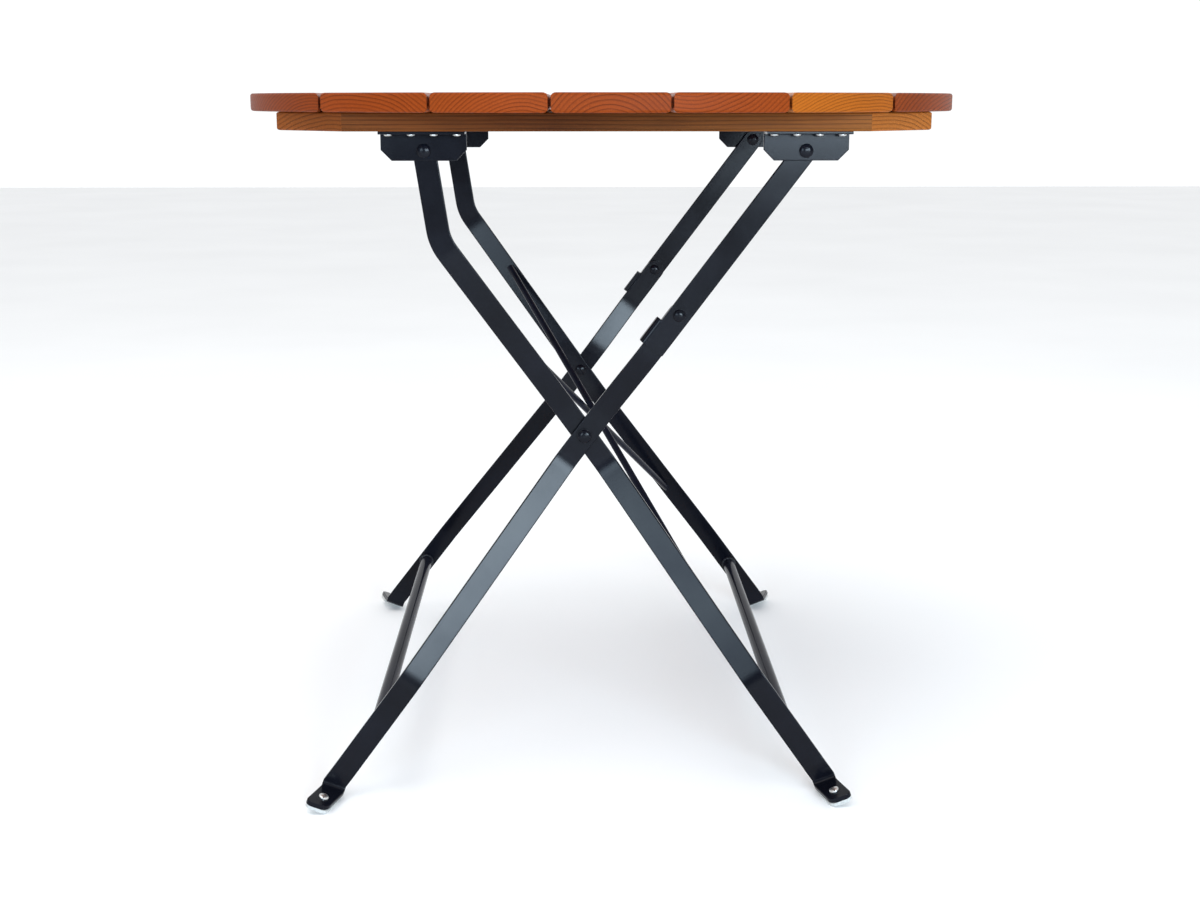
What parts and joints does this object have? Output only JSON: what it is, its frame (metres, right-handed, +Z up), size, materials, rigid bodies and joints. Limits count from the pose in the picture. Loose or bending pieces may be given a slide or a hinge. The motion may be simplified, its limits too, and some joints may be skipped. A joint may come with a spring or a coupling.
{
  "type": "folding table",
  "caption": "Round slatted wooden table top on a folding X-frame of black flat-bar steel legs with knee links that lock it open.",
  "frame": {"origin": "on the floor, under the middle of the round top, with the table open", "axes": "+Z up; X along the battens, across the slats; Y along the slats, which is the folding hinges' direction"},
  "size_m": [0.8, 0.7998, 0.73],
  "materials": {
    "slat": "oiled acacia, satin",
    "batten": "oiled acacia, satin",
    "black_steel": "glossy powder coat",
    "zinc": "bright zinc plate",
    "glide": "translucent white"
  },
  "bodies": {
    "tabletop": {"slat_1": "slat", "slat_2": "slat", "slat_3": "slat", "slat_4": "slat", "slat_5": "slat", "slat_6": "slat", "slat_7": "slat", "batten_front": "batten", "batten_back": "batten", "slat_screws": "zinc", "bracket_front_left": "black_steel", "bracket_front_right": "black_steel", "bracket_back_left": "black_steel", "bracket_back_right": "black_steel", "bracket_screws": "zinc", "bracket_rivets": "black_steel"},
    "inner_frame": {"bent_leg_front": "black_steel", "bent_leg_back": "black_steel", "bent_leg_stretcher": "black_steel", "brace_front_to_back": "black_steel", "brace_back_to_front": "black_steel", "crossing_rivets": "black_steel", "crossing_washers": "black_steel", "glide_bent_front": "glide", "glide_bent_back": "glide", "bent_foot_screws": "zinc"},
    "outer_frame": {"straight_leg_front": "black_steel", "straight_leg_back": "black_steel", "straight_leg_stretcher": "black_steel", "glide_straight_front": "glide", "glide_straight_back": "glide", "straight_foot_screws": "zinc", "knee_rivet_tails": "black_steel"},
    "front_knee_link": {"knee_link_front": "black_steel", "knee_rivet_head_front": "black_steel"},
    "back_knee_link": {"knee_link_back": "black_steel", "knee_rivet_head_back": "black_steel"}
  },
  "joints": [
    {"name": "fold", "type": "hinge", "parent": "tabletop", "child": "inner_frame", "pos_m": [-0.187, 0, 0.672], "axis": [0, 1, 0], "range_deg": [-54.4, 0]},
    {"name": "leg_crossing", "type": "hinge", "parent": "inner_frame", "child": "outer_frame", "pos_m": [-0.023, 0, 0.3695], "axis": [0, 1, 0], "range_deg": [-61.9, 0]},
    {"name": "front_link_pivot", "type": "hinge", "parent": "tabletop", "child": "front_knee_link", "pos_m": [0.205, 0, 0.672], "axis": [0, 1, 0], "range_deg": [0, 50.1]},
    {"name": "back_link_pivot", "type": "hinge", "parent": "tabletop", "child": "back_knee_link", "pos_m": [0.205, 0, 0.672], "axis": [0, 1, 0], "range_deg": [0, 50.1]}
  ],
  "couplings": [
    {"joint": "leg_crossing", "follows": "fold", "ratio": 1.1346},
    {"joint": "front_link_pivot", "follows": "fold", "ratio": -0.9173},
    {"joint": "back_link_pivot", "follows": "fold", "ratio": -0.9173}
  ]
}
